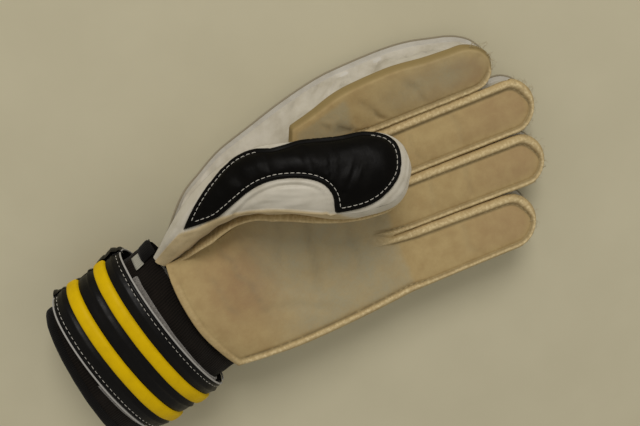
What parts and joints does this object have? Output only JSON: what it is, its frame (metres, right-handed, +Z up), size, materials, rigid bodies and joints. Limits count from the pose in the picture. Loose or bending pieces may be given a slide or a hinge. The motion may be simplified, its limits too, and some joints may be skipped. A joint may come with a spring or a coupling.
{
  "type": "goalkeeper glove",
  "caption": "Left goalkeeper glove: flat-cut foam palm, padded back, gusseted fingers, elastic cuff and a striped wrist strap.",
  "frame": {"origin": "middle of the flat pad on the back of the hand, which the glove rests on", "axes": "+X towards the fingertips, +Y towards the thumb side, +Z up out of the palm"},
  "size_m": [0.2863, 0.145, 0.0804],
  "materials": {
    "latex": "soft latex foam, matt and slightly grippy, worn and smudged on the palm",
    "white": "white synthetic fabric with a light satin sheen",
    "black": "padded black synthetic leather, semi-gloss",
    "yellow": "raised yellow synthetic leather, semi-matt",
    "elastic": "black knitted elastic",
    "grey": "light grey loop pile",
    "piping": "thin pale grey edge piping",
    "lining": "thin brushed towelling lining"
  },
  "bodies": {
    "hand": {"palm_latex": "latex", "palm_lining": "lining", "backhand_panel": "white", "backhand_lining": "lining", "knuckle_pad": "black", "fourchette_index_middle": "white", "fourchette_middle_ring": "white", "fourchette_ring_little": "white", "little_side_gusset": "white", "index_side_gusset": "white", "thumb_web_gusset": "white", "cuff_sleeve": "elastic", "cuff_lining": "lining", "cuff_hem": "elastic", "loop_band": "grey", "side_tab": "elastic", "size_label": "white", "base_band": "black", "base_stripe_front": "yellow", "base_stripe_rear": "yellow"},
    "thumb": {"thumb_latex": "latex", "thumb_back_panel": "white", "thumb_patch": "black", "thumb_gusset": "white"},
    "strap": {"strap_band": "black", "strap_stripe_front": "yellow", "strap_stripe_rear": "yellow", "strap_edge_front": "piping", "strap_edge_rear": "piping", "hook_pad": "elastic"},
    "index_finger": {"index_latex": "latex", "index_back": "white", "index_gusset": "white"},
    "middle_finger": {"middle_latex": "latex", "middle_back": "white", "middle_gusset": "white"},
    "ring_finger": {"ring_latex": "latex", "ring_back": "white", "ring_gusset": "white"},
    "little_finger": {"little_latex": "latex", "little_back": "white", "little_gusset": "white"}
  },
  "joints": [
    {"name": "index_bend", "type": "hinge", "parent": "hand", "child": "index_finger", "pos_m": [0.101, 0.04824, 0.033], "axis": [0, -1, 0], "range_deg": [0, 70], "stiffness_Nm_per_rad": 0.15},
    {"name": "middle_bend", "type": "hinge", "parent": "hand", "child": "middle_finger", "pos_m": [0.109, 0.01972, 0.02372], "axis": [0, -1, 0], "range_deg": [0, 70], "stiffness_Nm_per_rad": 0.15},
    {"name": "ring_bend", "type": "hinge", "parent": "hand", "child": "ring_finger", "pos_m": [0.106, -0.01016, 0.02378], "axis": [0, -1, 0], "range_deg": [0, 70], "stiffness_Nm_per_rad": 0.15},
    {"name": "little_bend", "type": "hinge", "parent": "hand", "child": "little_finger", "pos_m": [0.097, -0.04032, 0.0276], "axis": [0, -1, 0], "range_deg": [0, 70], "stiffness_Nm_per_rad": 0.15},
    {"name": "thumb_swing", "type": "hinge", "parent": "hand", "child": "thumb", "pos_m": [-0.05, 0.028, 0.048], "axis": [0, 0, 1], "range_deg": [0, 45], "stiffness_Nm_per_rad": 0.25},
    {"name": "strap_open", "type": "hinge", "parent": "hand", "child": "strap", "pos_m": [-0.10373, 0.02505, 0.031], "axis": [-0.9744, -0.225, 0], "range_deg": [0, 70]}
  ]
}
